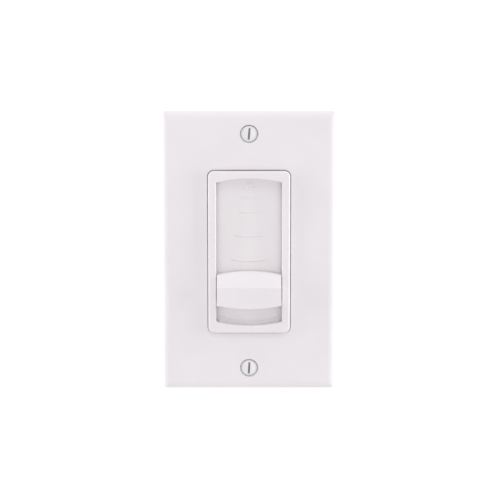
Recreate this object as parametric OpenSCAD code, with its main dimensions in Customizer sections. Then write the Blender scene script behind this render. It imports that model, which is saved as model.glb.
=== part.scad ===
// Slide dimmer for a single-gang wall box, with its wallplate.
// X is to the right, Y goes into the wall, Z is up. The wall's surface is y = 0,
// and the origin lies midway between the two box-mounting holes.

/* [Wallplate] */
// Width of the wallplate
plate_w = 69.85; // [68:0.05:72]
// Height of the wallplate
plate_h = 114.3; // [113:0.1:118]
// How far the wallplate's face stands in front of the wall
plate_depth = 5.6; // [5.4:0.1:6.4]
// Thickness of the wallplate's face
plate_face_t = 2.0; // [1.6:0.1:2.1]
// Thickness of the wallplate's rim
plate_rim_t = 1.35; // [1.1:0.05:1.6]
// Radius of the crowned front edge
plate_edge_r = 4.2; // [3.8:0.1:6]
// Width of the crowned front edge
plate_edge_w = 2.8; // [2:0.1:3]
// Width of the wallplate's window
window_w = 33.8; // [33.6:0.1:34.6]
// Height of the wallplate's window
window_h = 67.5; // [67.3:0.1:68.4]
// Distance between the two wallplate screws
plate_screw_pitch = 96.84; // [96:0.01:97.5]
// Diameter of the wallplate screw's head
plate_screw_head_d = 6.6; // [6:0.1:7]

/* [Bezel] */
// Width of the bezel
bezel_w = 33.2; // [33:0.1:33.4]
// Height of the bezel
bezel_h = 66.9; // [66.6:0.1:67]
// How far the bezel stands in front of the wallplate
bezel_proud = 1.6; // [1:0.1:2]
// Width of the recess that the knob slides in
recess_w = 26.7; // [26.5:0.1:26.8]
// Height of the recess on its centre line
recess_h = 60.85; // [60.6:0.05:61]
// How much higher the recess is on its centre line than at its sides, per end
recess_sag = 1.64; // [1.2:0.02:1.7]

/* [Scale panel] */
// Radius of the scale panel's convex front
panel_r = 155; // [140:5:250]
// Depth of the panel's crest behind the wall's surface, negative in front of it
panel_crest_y = -4.4; // [-4.45:0.05:-4.3]
// Thickness of the scale panel
panel_t = 1.4; // [1.2:0.1:1.4]
// Height of the raised marks
mark_h = 0.25; // [0.15:0.01:0.3]

/* [Knob] */
// Width of the knob
knob_w = 26.2; // [25.8:0.1:26.3]
// Height of the knob on its centre line
knob_h = 14.56; // [14:0.02:14.6]
// How much the knob's top and bottom edges bow outwards
knob_sag = 1.4; // [1:0.05:1.5]
// Depth of the knob's front face, negative in front of the wall
knob_front_y = -11; // [-12:0.1:-10.5]
// Height of the flat lower front of the knob
knob_face_h = 8.65; // [8:0.05:9]
// Height of the knob's centre when the part is at rest
knob_rest_z = -15.2; // [-22.4:0.1:22.4]
// Wall thickness of the knob
knob_t = 1.3; // [1.1:0.1:1.5]
// Travel of the slider from end to end
travel = 45; // [43:0.5:45]

/* [Yoke and housing] */
// Distance between the two box-mounting holes
box_screw_pitch = 83.34; // [83:0.01:83.6]
// Radius of a box-mounting hole
box_hole_r = 2.2; // [2.1:0.05:2.3]
// Length of the yoke
yoke_l = 105; // [104:0.5:107]
// Width of the yoke's middle and of the housing
yoke_w = 44; // [44:0.5:46]
// Thickness of the yoke
yoke_t = 1.3; // [1.2:0.1:1.3]
// Height of the housing
housing_h = 68; // [68:0.5:69]
// Depth of the housing behind the wall's surface
housing_d = 33; // [33:0.5:36]
// Wall thickness of the housing
housing_t = 1.6; // [1.4:0.1:1.6]

/* [Hidden] */
$fn = 128;

white = [0.93, 0.93, 0.93];
nylon = [0.85, 0.84, 0.8];
zinc = [0.72, 0.74, 0.76];
steel = [0.62, 0.63, 0.65];
brass = [0.8, 0.65, 0.3];
black = [0.12, 0.12, 0.13];

// a cut goes this far past the surface that it opens
past = 1;

plate_front = -plate_depth;
plate_inner_y = plate_front + plate_face_t;
plate_corner_r = 1;
plate_edge_drop = plate_edge_r - sqrt(plate_edge_r * plate_edge_r - plate_edge_w * plate_edge_w);
window_r = 2.8;
plate_screw_z = plate_screw_pitch / 2;
plate_screw_r = 1.6;
plate_boss_r = 4.6;
plate_screw_tip_y = 5;
// a straight-walled counterbore over a conical seat
sink_r = 3.75;
sink_wall = 0.9;
sink_cone = 1.7;
head_gap = 0.03;
head_r = plate_screw_head_d / 2;
head_rim_h = 0.8;
head_rim_y = plate_front + sink_wall + sink_r - head_r - head_rim_h;
head_dome_h = 0.8;
// the slot is cut by a disc, so it runs out short of the head's edge
head_slot_w = 0.8;
head_slot_depth = 1.0;
head_slot_reach = 0.75;
// turn of each plate screw's slot from upright
plate_screw_turns = [[1, 4.8], [-1, 3.1]];

bezel_front = plate_front - bezel_proud;
bezel_corner_r = 2.4;
bezel_back = -yoke_t;
rail_back_y = -5.4;
wing_x = 15.2;
channel_x = 15.4;
channel_h = 60.4;
panel_gap = 0.05;
tongue_w = 10;
tongue_end_z = 38.2;
tongue_t = 1.3;
stake_z = 36.2;
stake_r = 1.1;
stake_head_r = 1.7;
stake_head_h = 0.8;
stake_gap = 0.05;

panel_axis_y = panel_crest_y + panel_r;
panel_half_w = 13.75;
panel_h = 62;
panel_tab_w = 12;
panel_tab_z = 32.1;
mark_arc_r = 33;
mark_line_w = 0.5;
mark_margin = 1;
// each graduation: height of its centre, width
marks = [[22.3, 6.2], [16.4, 8], [6.4, 11.5], [-3.8, 14.4], [-16.1, 18.6], [-28.8, 22.8]];
sun_z = 26.7;
sun_r = 1.4;
sun_ray_in = 1.85;
sun_ray_out = 2.65;
sun_rays = 8;

knob_top_z = knob_rest_z + knob_h / 2;
knob_bottom_z = knob_rest_z - knob_h / 2;
knob_ridge_z = knob_bottom_z + knob_face_h;
knob_lip_y = -5.4;
knob_back_y = -4.2;
knob_clearance = 0.6;
wing_front = -5.2;
wing_back = -4.3;
wing_h = 11.4;
leg_x = 14.2;
leg_h = 6;

carriage_front = 3;
carriage_back = 5.5;
carriage_h = 7;
lever_w = 1.2;
lever_h = 5;
lever_front = 2.6;

window_half_w = 15.6;
yoke_window_h = 62.6;
yoke_end_w = 24;
yoke_end_r = 6;
yoke_middle_h = 71;
wing_in_x = 18.6;
wing_t = 1.3;
heat_wing_h = 18;
heat_wing_end_y = 30.8;
post_x = 19;
post_z = 29.5;
post_r = 2.4;
ground_x = 14;
ground_z = -40;
ground_ear_reach = 4.5;
ground_ear_root = 6;
ground_ear_x = [ground_x - ground_ear_root, ground_x + ground_ear_reach];
ground_ear_z = [ground_z - ground_ear_reach, ground_z + ground_ear_reach];
ground_head_r = 3.2;
ground_dome_h = 0.8;
ground_rim_h = 1;
ground_shank_r = 1.65;
ground_tip_y = 4;
// a tapped hole is this much wider than its screw
tap_gap = 0.1;

insulator_t = 0.4;
insulator_gap = 0.3;
insulator_wing_room = 1;
housing_corner_r = 1.5;
housing_inner_w = yoke_w - 2 * housing_t;
housing_inner_h = housing_h - 2 * housing_t;
housing_floor_y = housing_d - housing_t;
housing_head_r = 2.2;
housing_head_h = 0.8;
housing_shank_r = 1.3;
head_room = 0.3;
housing_bore_r = 1.35;
housing_bore_y = 12;
housing_tip_y = 11;
// ribs that hold the board away from the floor
rib_x = 15;
rib_z = [25.6, 27];

pot_w = 9;
pot_h = 60;
pot_front = 7;
pot_wall = 0.6;
pot_slot_half_w = 1.1;
pot_slot_spare = 0.6;
pot_track_y = 12.3;
board_front = 13.5;
board_back = 15.1;
board_w = 32.6;
board_h = 63.6;
wiper_front = 8.4;
wiper_back = 11.6;
wiper_half_w = 3.2;
wiper_half_h = 3.4;
finger_x = 1.8;
finger_half_w = 0.5;
finger_half_h = 1;
finger_gap = 0.15;

plunger_gap = 0.3;
plunger_top_z = -travel / 2 - carriage_h / 2 - plunger_gap;
plunger_w = 2.4;
plunger_h = 2.4;
plunger_half_d = 1;
plunger_y = 4.2;
plunger_room = 0.15;
switch_half_w = 6.4;
switch_front = 1.4;
plunger_proud = 1.3;
switch_top_z = plunger_top_z - plunger_proud;
switch_floor_t = 1;
switch_bottom_z = -32.2;
switch_pin_x = 5;
switch_pin_half_w = 0.5;
switch_pin_z = [-31.6, -30.6];

triac_h = 10.2;
triac_body_t = 4.5;
triac_pad_t = 0.3;
triac_pad_half_h = 6;
triac_x = wing_in_x - triac_pad_t;
triac_tab_t = 1.3;
triac_tab_margin = 0.2;
triac_tab_y = [17, heat_wing_end_y - triac_tab_margin];
triac_body_y = [16, 25];
triac_hole_y = 27.9;
triac_hole_r = 1.85;
triac_lead_t = 0.5;
triac_lead_rise = 2.4;
triac_lead_x = [triac_x - triac_lead_rise - triac_lead_t, triac_x - triac_lead_rise];
triac_lead_pitch = 2.54;
triac_lead_half_w = 0.4;
triac_screw_r = 1.5;
triac_screw_head_r = 2.7;
triac_screw_head_h = 2;

choke_x = -3.5;
choke_z = 17;
choke_out_r = 10.5;
choke_in_r = 5.5;
choke_y = [16.3, 24.3];
wire_d = 1.0;
wire_gap = 0.1;
choke_turns = 18;

film_x = [-14, -1];
film_z = [-10.5, -3.5];
film_end_y = 27;
film_pitch = 10;
timing_x = [3, 10];
timing_z = [-14.5, -11];
timing_end_y = 22;
timing_pitch = 5;
capacitor_lift = 0.8;
capacitor_wire_r = 0.35;
capacitor_wire_sink = 0.4;

resistor_r = 1.15;
resistor_half_l = 3.2;
resistor_rise = 1.5;
resistor_y = board_back + resistor_rise;
resistor_x = 2;
resistor_rows = [-18.5, -22, -25.5];
lead_r = 0.3;
lead_reach = 6;

diac_x = 11.3;
diac_rise = 1.3;
diac_y = board_back + diac_rise;
diac_z = -2;
diac_r = 0.95;
diac_l = 4;
diac_wire_l = 9;

trim_x = 5.2;
trim_z = -1.8;
trim_w = 6.4;
trim_back = 18.6;
trim_rotor_r = 2.2;
trim_room = 0.3;
trim_pocket = 1;
trim_rotor_proud = 0.6;
trim_slot_half_w = 0.35;

terminal_z = 15;
terminal_y = 19.3;
terminal_w = 8.2;
terminal_x = -21.6;
terminal_t = 1;
terminal_hole_r = 1.85;
terminal_foot_x = -15.6;
terminal_foot_t = 0.9;
terminal_foot_half_h = 2.2;
terminal_gap = 0.3;
terminal_head_r = 3.3;
terminal_head_h = 1.9;
terminal_slot_half_w = 0.4;
terminal_slot_depth = 0.8;
terminal_shank_r = 1.7;
terminal_shank_l = 4.8;
terminal_tip_x = terminal_x + terminal_shank_l;

// radius of an arc that rises by sag over half its chord
function arc_r(half, sag) = (half * half + sag * sag) / (2 * sag);

// a flat outline in X and Z, given depth from y0 to y1
module slab(y0, y1)
    translate([0, y1, 0]) rotate([90, 0, 0]) linear_extrude(y1 - y0) children();

// a profile in Y and Z, extruded w wide across X
module across(w)
    rotate([90, 0, 90]) linear_extrude(w, center = true) children();

module block(x, y, z)
    translate([x[0], y[0], z[0]]) cube([x[1] - x[0], y[1] - y[0], z[1] - z[0]]);

// a round rod along Y, with a second radius where it tapers
module rod(x, z, r, y0, y1, r_back = undef)
    translate([x, y0, z]) rotate([-90, 0, 0])
        cylinder(h = y1 - y0, r1 = r, r2 = is_undef(r_back) ? r : r_back);

// a round rod along X
module rod_x(y, z, r, x0, x1)
    translate([x0, y, z]) rotate([0, 90, 0]) cylinder(h = x1 - x0, r = r);

module round_rect(w, h, r) {
    square([w - 2 * r, h], center = true);
    square([w, h - 2 * r], center = true);
    for (sx = [-1, 1], sz = [-1, 1])
        translate([sx * (w / 2 - r), sz * (h / 2 - r)]) circle(r);
}

// straight sides, with the top and bottom bowed outwards
module barrel(w, h, sag, inset = 0) {
    r = arc_r(w / 2, sag);
    intersection() {
        square([w - 2 * inset, h - 2 * inset], center = true);
        translate([0, h / 2 - r]) circle(r - inset);
        translate([0, r - h / 2]) circle(r - inset);
    }
}

// everything behind the scale panel's front, grown by a clearance
module panel_body(grow, h)
    translate([0, panel_axis_y, 0]) cylinder(h = h, r = panel_r + grow, center = true);

// a slotted screw along Y, the base of its domed head at y: a straight rim, a taper
// down to the shank, and the slot turned from upright
module slotted_screw(x, y, z, head, dome_h, rim_h, taper_h, shank, tip, turn = 0) {
    ball_r = arc_r(head, dome_h);
    reach = head * head_slot_reach;
    reach_y = ball_r - sqrt(ball_r * ball_r - reach * reach);
    disc_r = arc_r(reach, head_slot_depth - reach_y);
    translate([x, y, z]) rotate([0, turn, 0]) difference() {
        rotate([-90, 0, 0]) rotate_extrude() {
            intersection() {
                translate([0, ball_r - dome_h]) circle(ball_r);
                translate([0, -dome_h]) square([head, dome_h]);
            }
            square([head, rim_h]);
            polygon([[0, 0], [head, rim_h], [shank, rim_h + taper_h], [0, rim_h + taper_h]]);
            square([shank, tip - y]);
        }
        rod_x(head_slot_depth - dome_h - disc_r, 0, disc_r, -head_slot_w / 2, head_slot_w / 2);
    }
}

// the waste outside a crowned front edge, along Z on the +X side
module edge_waste(half, len)
    linear_extrude(len, center = true) difference() {
        translate([half - plate_edge_w, plate_front - past])
            square([plate_edge_w + past, plate_edge_drop + past]);
        translate([half - plate_edge_w, plate_front + plate_edge_r]) circle(plate_edge_r);
    }

module wallplate() color(white) difference() {
    union() {
        difference() {
            slab(plate_front, 0) round_rect(plate_w, plate_h, plate_corner_r);
            slab(plate_inner_y, past)
                round_rect(plate_w - 2 * plate_rim_t, plate_h - 2 * plate_rim_t, plate_corner_r);
        }
        for (s = [-1, 1])
            rod(0, s * plate_screw_z, plate_boss_r, plate_inner_y - plate_face_t / 2, -yoke_t);
    }
    for (a = [0, 180]) rotate([0, a, 0]) edge_waste(plate_w / 2, plate_h + 2 * past);
    for (a = [90, 270]) rotate([0, a, 0]) edge_waste(plate_h / 2, plate_w + 2 * past);
    slab(plate_front - past, past) round_rect(window_w, window_h, window_r);
    for (s = [-1, 1]) {
        rod(0, s * plate_screw_z, sink_r, plate_front - past, plate_front + sink_wall);
        rod(0, s * plate_screw_z, sink_r, plate_front + sink_wall,
            plate_front + sink_wall + sink_cone, sink_r - sink_cone);
        rod(0, s * plate_screw_z, sink_r - sink_cone, plate_front, past);
    }
}

module wallplate_screws() color(zinc)
    for (t = plate_screw_turns)
        slotted_screw(0, head_rim_y, t[0] * plate_screw_z, head_r - head_gap, head_dome_h,
                      head_rim_h, head_r - plate_screw_r, plate_screw_r - head_gap,
                      plate_screw_tip_y, t[1]);

module bezel_frame() color(white) {
    difference() {
        slab(bezel_front, bezel_back) round_rect(bezel_w, bezel_h, bezel_corner_r);
        slab(bezel_front - past, past) barrel(recess_w, recess_h, recess_sag);
        for (s = [-1, 1]) mirror([1 - s, 0, 0])
            block([recess_w / 2 - past, channel_x], [rail_back_y, past],
                  [-channel_h / 2, channel_h / 2]);
        intersection() {
            panel_body(panel_gap, panel_h + 2 * panel_gap);
            block([-channel_x, channel_x], [panel_crest_y - past, past], [-panel_h, panel_h]);
        }
        block([-panel_tab_w / 2 - panel_gap, panel_tab_w / 2 + panel_gap],
              [panel_crest_y - panel_gap, past],
              [-panel_tab_z - panel_gap, panel_tab_z + panel_gap]);
    }
    for (s = [-1, 1]) {
        tongue_z = s > 0 ? [bezel_h / 2 - past, tongue_end_z] : [-tongue_end_z, past - bezel_h / 2];
        block([-tongue_w / 2, tongue_w / 2], [bezel_back - tongue_t, bezel_back], tongue_z);
        rod(0, s * stake_z, stake_r, bezel_back - tongue_t / 2, stake_head_h / 2);
        rod(0, s * stake_z, stake_head_r, 0, stake_head_h);
    }
}

// the raised marks' outlines: smile-shaped graduations under a plain sun
module mark_outlines() {
    for (m = marks) intersection() {
        translate([0, m[0] + mark_arc_r]) difference() {
            circle(mark_arc_r + mark_line_w / 2);
            circle(mark_arc_r - mark_line_w / 2);
        }
        translate([-m[1] / 2, m[0] - mark_margin]) square([m[1], m[1] / 2 + mark_margin]);
    }
    translate([0, sun_z]) {
        difference() {
            circle(sun_r);
            circle(sun_r - mark_line_w);
        }
        for (i = [0 : sun_rays - 1]) rotate(i * 360 / sun_rays)
            translate([sun_ray_in, -mark_line_w / 2])
                square([sun_ray_out - sun_ray_in, mark_line_w]);
    }
}

module scale_panel() color(white) {
    linear_extrude(panel_h, center = true) intersection() {
        translate([0, panel_axis_y]) difference() {
            circle(panel_r);
            circle(panel_r - panel_t);
        }
        translate([-panel_half_w, panel_crest_y - past]) square([2 * panel_half_w, -panel_crest_y + past]);
    }
    for (s = [-1, 1])
        block([-panel_tab_w / 2, panel_tab_w / 2],
              [panel_crest_y + panel_t / 2, -yoke_t],
              s > 0 ? [panel_h / 2 - past, panel_tab_z] : [-panel_tab_z, past - panel_h / 2]);
    intersection() {
        difference() {
            panel_body(mark_h, panel_h);
            panel_body(-panel_t / 2, panel_h + past);
        }
        slab(panel_crest_y - past, 0) mark_outlines();
    }
}

// the knob's side profile, shrunk by an even wall
module knob_profile(wall, back) {
    slope = atan2(knob_top_z - knob_ridge_z, knob_lip_y - knob_front_y);
    front = knob_front_y + wall;
    polygon([
        [back, knob_bottom_z],
        [front, knob_bottom_z],
        [front, knob_ridge_z + wall * tan(slope) - wall / cos(slope)],
        [knob_front_y + (knob_top_z - knob_ridge_z + wall / cos(slope)) / tan(slope), knob_top_z],
        [back, knob_top_z]
    ]);
}

module slider_knob() color(white) difference() {
    union() {
        difference() {
            intersection() {
                across(knob_w) knob_profile(0, knob_back_y);
                slab(knob_front_y - past, past) translate([0, knob_rest_z])
                    barrel(knob_w, knob_h, knob_sag);
            }
            intersection() {
                across(knob_w) knob_profile(knob_t, past);
                slab(knob_front_y - past, past) translate([0, knob_rest_z])
                    barrel(knob_w, knob_h, knob_sag, knob_t);
            }
        }
        for (s = [-1, 1]) mirror([1 - s, 0, 0]) {
            block([knob_w / 2 - knob_t, wing_x], [wing_front, wing_back],
                  [knob_rest_z - wing_h / 2, knob_rest_z + wing_h / 2]);
            block([leg_x, wing_x], [wing_front, carriage_back],
                  [knob_rest_z - leg_h / 2, knob_rest_z + leg_h / 2]);
        }
    }
    intersection() {
        panel_body(knob_clearance, plate_h);
        block([-knob_w / 2 + knob_t / 2, knob_w / 2 - knob_t / 2], [knob_front_y, past],
              [-plate_h / 2, plate_h / 2]);
    }
}

module slider_carriage() color(nylon) difference() {
    block([-wing_x, wing_x], [carriage_front, carriage_back],
          [knob_rest_z - carriage_h / 2, knob_rest_z + carriage_h / 2]);
    for (s = [-1, 1]) mirror([1 - s, 0, 0])
        block([leg_x, wing_x + past], [carriage_front - past, carriage_back + past],
              [knob_rest_z - leg_h / 2, knob_rest_z + leg_h / 2]);
    block([-lever_w / 2, lever_w / 2], [carriage_front - past, carriage_back + past],
          [knob_rest_z - lever_h / 2, knob_rest_z + lever_h / 2]);
}

module yoke() color(zinc) difference() {
    union() {
        slab(-yoke_t, 0) {
            square([yoke_w, yoke_middle_h], center = true);
            round_rect(yoke_end_w, yoke_l, yoke_end_r);
        }
        block(ground_ear_x, [-yoke_t, 0], ground_ear_z);
        block([wing_in_x, wing_in_x + wing_t], [-yoke_t / 2, heat_wing_end_y],
              [-heat_wing_h / 2, heat_wing_h / 2]);
    }
    slab(-yoke_t - past, past)
        square([2 * window_half_w, yoke_window_h], center = true);
    for (s = [-1, 1]) {
        rod(0, s * box_screw_pitch / 2, box_hole_r, -yoke_t - past, past);
        rod(0, s * plate_screw_z, plate_screw_r + tap_gap, -yoke_t - past, past);
        rod(0, s * stake_z, stake_r + stake_gap, -yoke_t - past, past);
        for (sx = [-1, 1])
            rod(sx * post_x, s * post_z, housing_shank_r + head_room, -yoke_t - past, past);
    }
    rod(ground_x, ground_z, ground_shank_r + tap_gap, -yoke_t - past, past);
    rod_x(triac_hole_y, 0, triac_screw_r + tap_gap, wing_in_x - past, wing_in_x + wing_t + past);
}

module ground_screw() color("green")
    slotted_screw(ground_x, -yoke_t - ground_rim_h, ground_z, ground_head_r, ground_dome_h,
                  ground_rim_h, 0, ground_shank_r, ground_tip_y);

module insulator_sheet() color([0.55, 0.5, 0.4]) slab(0, insulator_t) difference() {
    square([housing_inner_w - 2 * insulator_gap, housing_inner_h - insulator_gap], center = true);
    square([2 * window_half_w, yoke_window_h], center = true);
    for (sx = [-1, 1], sz = [-1, 1])
        translate([sx * post_x, sz * post_z]) circle(post_r + insulator_gap);
    translate([wing_in_x - insulator_gap, -heat_wing_h / 2 - insulator_gap])
        square([wing_t + insulator_wing_room, heat_wing_h + 2 * insulator_gap]);
}

module back_housing() color(black) difference() {
    union() {
        difference() {
            slab(0, housing_d) round_rect(yoke_w, housing_h, housing_corner_r);
            slab(-past, housing_floor_y) square([housing_inner_w, housing_inner_h], center = true);
        }
        for (sx = [-1, 1], sz = [-1, 1]) {
            rod(sx * post_x, sz * post_z, post_r, 0, housing_floor_y + housing_t / 2);
            mirror([1 - sx, 0, 0]) mirror([0, 0, 1 - sz])
                block([rib_x, housing_inner_w / 2 + housing_t / 2],
                      [board_back, housing_floor_y + housing_t / 2], rib_z);
        }
    }
    for (sx = [-1, 1], sz = [-1, 1])
        rod(sx * post_x, sz * post_z, housing_bore_r, -past, housing_bore_y);
    for (s = [-1, 1])
        block([-yoke_w / 2 - past, -housing_inner_w / 2 + past / 2],
              [terminal_y - terminal_w / 2 - terminal_gap, terminal_y + terminal_w / 2 + terminal_gap],
              [s * terminal_z - terminal_w / 2 - terminal_gap,
               s * terminal_z + terminal_w / 2 + terminal_gap]);
}

module housing_screws() color(steel)
    for (sx = [-1, 1], sz = [-1, 1])
        slotted_screw(sx * post_x, -yoke_t - housing_head_h, sz * post_z, housing_head_r,
                      housing_head_h, housing_head_h, 0, housing_shank_r, housing_tip_y);

module circuit_board() color([0.75, 0.6, 0.35])
    block([-board_w / 2, board_w / 2], [board_front, board_back], [-board_h / 2, board_h / 2]);

module pot_frame() color(steel) {
    inner = pot_w / 2 - pot_wall;
    slot_half_h = travel / 2 + lever_h / 2 + pot_slot_spare;
    difference() {
        block([-pot_w / 2, pot_w / 2], [pot_front, board_front], [-pot_h / 2, pot_h / 2]);
        block([-inner, inner], [pot_front + pot_wall, board_front + past],
              [-pot_h / 2 + pot_wall, pot_h / 2 - pot_wall]);
        block([-pot_slot_half_w, pot_slot_half_w], [pot_front - past, pot_front + past],
              [-slot_half_h, slot_half_h]);
    }
}

module pot_track() color([0.35, 0.2, 0.12])
    block([-pot_w / 2 + pot_wall, pot_w / 2 - pot_wall], [pot_track_y, board_front],
          [-pot_h / 2 + pot_wall, pot_h / 2 - pot_wall]);

module pot_lever() color(steel)
    block([-lever_w / 2, lever_w / 2], [lever_front, wiper_front],
          [knob_rest_z - lever_h / 2, knob_rest_z + lever_h / 2]);

module pot_wiper() color(nylon) {
    block([-wiper_half_w, wiper_half_w], [wiper_front, wiper_back],
          [knob_rest_z - wiper_half_h, knob_rest_z + wiper_half_h]);
    for (s = [-1, 1])
        block([s * finger_x - finger_half_w, s * finger_x + finger_half_w],
              [wiper_back - finger_half_w, pot_track_y - finger_gap],
              [knob_rest_z - finger_half_h, knob_rest_z + finger_half_h]);
}

module off_switch_body() color(black) {
    half_w = plunger_w / 2 + plunger_room;
    half_d = plunger_half_d + plunger_room;
    difference() {
        block([-switch_half_w, switch_half_w], [switch_front, pot_front],
              [switch_bottom_z, switch_top_z]);
        block([-half_w, half_w], [plunger_y - half_d, plunger_y + half_d],
              [switch_bottom_z + switch_floor_t, switch_top_z + past]);
    }
}

module off_switch_plunger() color("firebrick")
    block([-plunger_w / 2, plunger_w / 2],
          [plunger_y - plunger_half_d, plunger_y + plunger_half_d],
          [plunger_top_z - plunger_h, plunger_top_z]);

module off_switch_terminals() color(brass)
    for (s = [-1, 1])
        block([s * switch_pin_x - switch_pin_half_w, s * switch_pin_x + switch_pin_half_w],
              [pot_front, board_front], switch_pin_z);

module triac_body() color(black) difference() {
    block([triac_x - triac_body_t, triac_x], triac_body_y, [-triac_h / 2, triac_h / 2]);
    block([triac_x - triac_tab_t, triac_x + past],
          [triac_body_y[0] - past, triac_body_y[1] + past],
          [-triac_h / 2 - past, triac_h / 2 + past]);
}

module triac_lead_frame() color(zinc) {
    difference() {
        block([triac_x - triac_tab_t, triac_x], triac_tab_y, [-triac_h / 2, triac_h / 2]);
        rod_x(triac_hole_y, 0, triac_hole_r, triac_x - triac_tab_t - past, triac_x + past);
    }
    for (i = [-1, 0, 1])
        block(triac_lead_x, [board_back, triac_body_y[0]],
              [i * triac_lead_pitch - triac_lead_half_w, i * triac_lead_pitch + triac_lead_half_w]);
}

module triac_pad() color([0.8, 0.8, 0.85]) difference() {
    block([triac_x, wing_in_x], triac_tab_y, [-triac_pad_half_h, triac_pad_half_h]);
    rod_x(triac_hole_y, 0, triac_hole_r, triac_x - past, wing_in_x + past);
}

module triac_screw() color(steel) {
    head_x = triac_x - triac_tab_t;
    rod_x(triac_hole_y, 0, triac_screw_head_r, head_x - triac_screw_head_h, head_x);
    rod_x(triac_hole_y, 0, triac_screw_r, head_x - triac_screw_head_h / 2, wing_in_x + wing_t);
}

module choke_core() color([0.35, 0.36, 0.3]) difference() {
    rod(choke_x, choke_z, choke_out_r, choke_y[0], choke_y[1]);
    rod(choke_x, choke_z, choke_in_r, choke_y[0] - past, choke_y[1] + past);
}

// each turn is one loop of wire round the core's section
module choke_winding() color([0.75, 0.4, 0.2]) {
    in = [choke_in_r - wire_gap, choke_out_r + wire_gap];
    in_y = [choke_y[0] - wire_gap, choke_y[1] + wire_gap];
    for (i = [1 : choke_turns]) translate([choke_x, 0, choke_z])
        rotate([0, i * 360 / (choke_turns + 1), 0]) difference() {
            block([in[0] - wire_d, in[1] + wire_d], [in_y[0] - wire_d, in_y[1] + wire_d],
                  [-wire_d / 2, wire_d / 2]);
            block(in, in_y, [-past, past]);
        }
}

// a box-shaped capacitor on two wires
module box_capacitor(x, z, end_y, pitch) {
    block(x, [board_back + capacitor_lift, end_y], z);
    for (s = [-1, 1])
        rod((x[0] + x[1]) / 2 + s * pitch / 2, (z[0] + z[1]) / 2, capacitor_wire_r, board_back,
            board_back + capacitor_lift + capacitor_wire_sink);
}

module film_capacitor() color([0.8, 0.65, 0.1])
    box_capacitor(film_x, film_z, film_end_y, film_pitch);

module timing_capacitor() color([0.2, 0.35, 0.6])
    box_capacitor(timing_x, timing_z, timing_end_y, timing_pitch);

module resistor_bodies() color([0.8, 0.7, 0.5])
    for (z = resistor_rows)
        rod_x(resistor_y, z, resistor_r, resistor_x - resistor_half_l, resistor_x + resistor_half_l);

// the stretch of wire inside a body is left to that body
module resistor_leads() color(zinc)
    for (z = resistor_rows, s = [-1, 1]) {
        bend_x = resistor_x + s * lead_reach;
        body_x = resistor_x + s * resistor_half_l;
        rod_x(resistor_y, z, lead_r, min(bend_x, body_x), max(bend_x, body_x));
        rod(bend_x, z, lead_r, board_back, resistor_y + lead_r);
    }

module diac() color([0.2, 0.3, 0.65]) {
    translate([diac_x, diac_y, diac_z]) cylinder(h = diac_l, r = diac_r, center = true);
    translate([diac_x, diac_y, diac_z]) cylinder(h = diac_wire_l, r = lead_r, center = true);
    for (s = [-1, 1])
        rod(diac_x, diac_z + s * diac_wire_l / 2, lead_r, board_back, diac_y + lead_r);
}

module trim_pot_body() color([0.15, 0.3, 0.6]) difference() {
    block([trim_x - trim_w / 2, trim_x + trim_w / 2], [board_back, trim_back],
          [trim_z - trim_w / 2, trim_z + trim_w / 2]);
    rod(trim_x, trim_z, trim_rotor_r + trim_room, trim_back - trim_pocket, trim_back + past);
}

module trim_pot_rotor() color("ivory") difference() {
    rod(trim_x, trim_z, trim_rotor_r, trim_back - trim_pocket, trim_back + trim_rotor_proud);
    block([trim_x - trim_slot_half_w, trim_x + trim_slot_half_w], [trim_back, trim_back + past],
          [trim_z - trim_rotor_r - past, trim_z + trim_rotor_r + past]);
}

module terminal_plates() color(brass)
    for (s = [-1, 1]) difference() {
        union() {
            block([terminal_x, terminal_x + terminal_t],
                  [board_back, terminal_y + terminal_w / 2],
                  [s * terminal_z - terminal_w / 2, s * terminal_z + terminal_w / 2]);
            block([terminal_x, terminal_foot_x], [board_back, board_back + terminal_foot_t],
                  [s * terminal_z - terminal_foot_half_h, s * terminal_z + terminal_foot_half_h]);
        }
        rod_x(terminal_y, s * terminal_z, terminal_hole_r, terminal_x - past,
              terminal_x + terminal_t + past);
    }

module terminal_screws() color(brass)
    for (s = [-1, 1]) {
        head_x = terminal_x - terminal_head_h;
        difference() {
            rod_x(terminal_y, s * terminal_z, terminal_head_r, head_x, terminal_x);
            block([head_x - past, head_x + terminal_slot_depth],
                  [terminal_y - terminal_slot_half_w, terminal_y + terminal_slot_half_w],
                  [s * terminal_z - terminal_head_r - past, s * terminal_z + terminal_head_r + past]);
        }
        rod_x(terminal_y, s * terminal_z, terminal_shank_r, head_x + terminal_slot_depth,
              terminal_tip_x);
    }

wallplate();
wallplate_screws();
bezel_frame();
scale_panel();
slider_knob();
slider_carriage();
yoke();
ground_screw();
insulator_sheet();
back_housing();
housing_screws();
circuit_board();
pot_frame();
pot_track();
pot_lever();
pot_wiper();
off_switch_body();
off_switch_plunger();
off_switch_terminals();
triac_body();
triac_lead_frame();
triac_pad();
triac_screw();
choke_core();
choke_winding();
film_capacitor();
timing_capacitor();
resistor_bodies();
resistor_leads();
diac();
trim_pot_body();
trim_pot_rotor();
terminal_plates();
terminal_screws();
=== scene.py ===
"""A white slide dimmer with its wallplate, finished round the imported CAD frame.

X is to the right, Y goes into the wall, Z is up. Every length is in metres.
"""
import math

import bmesh
import bpy
from mathutils import Matrix, Vector


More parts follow.
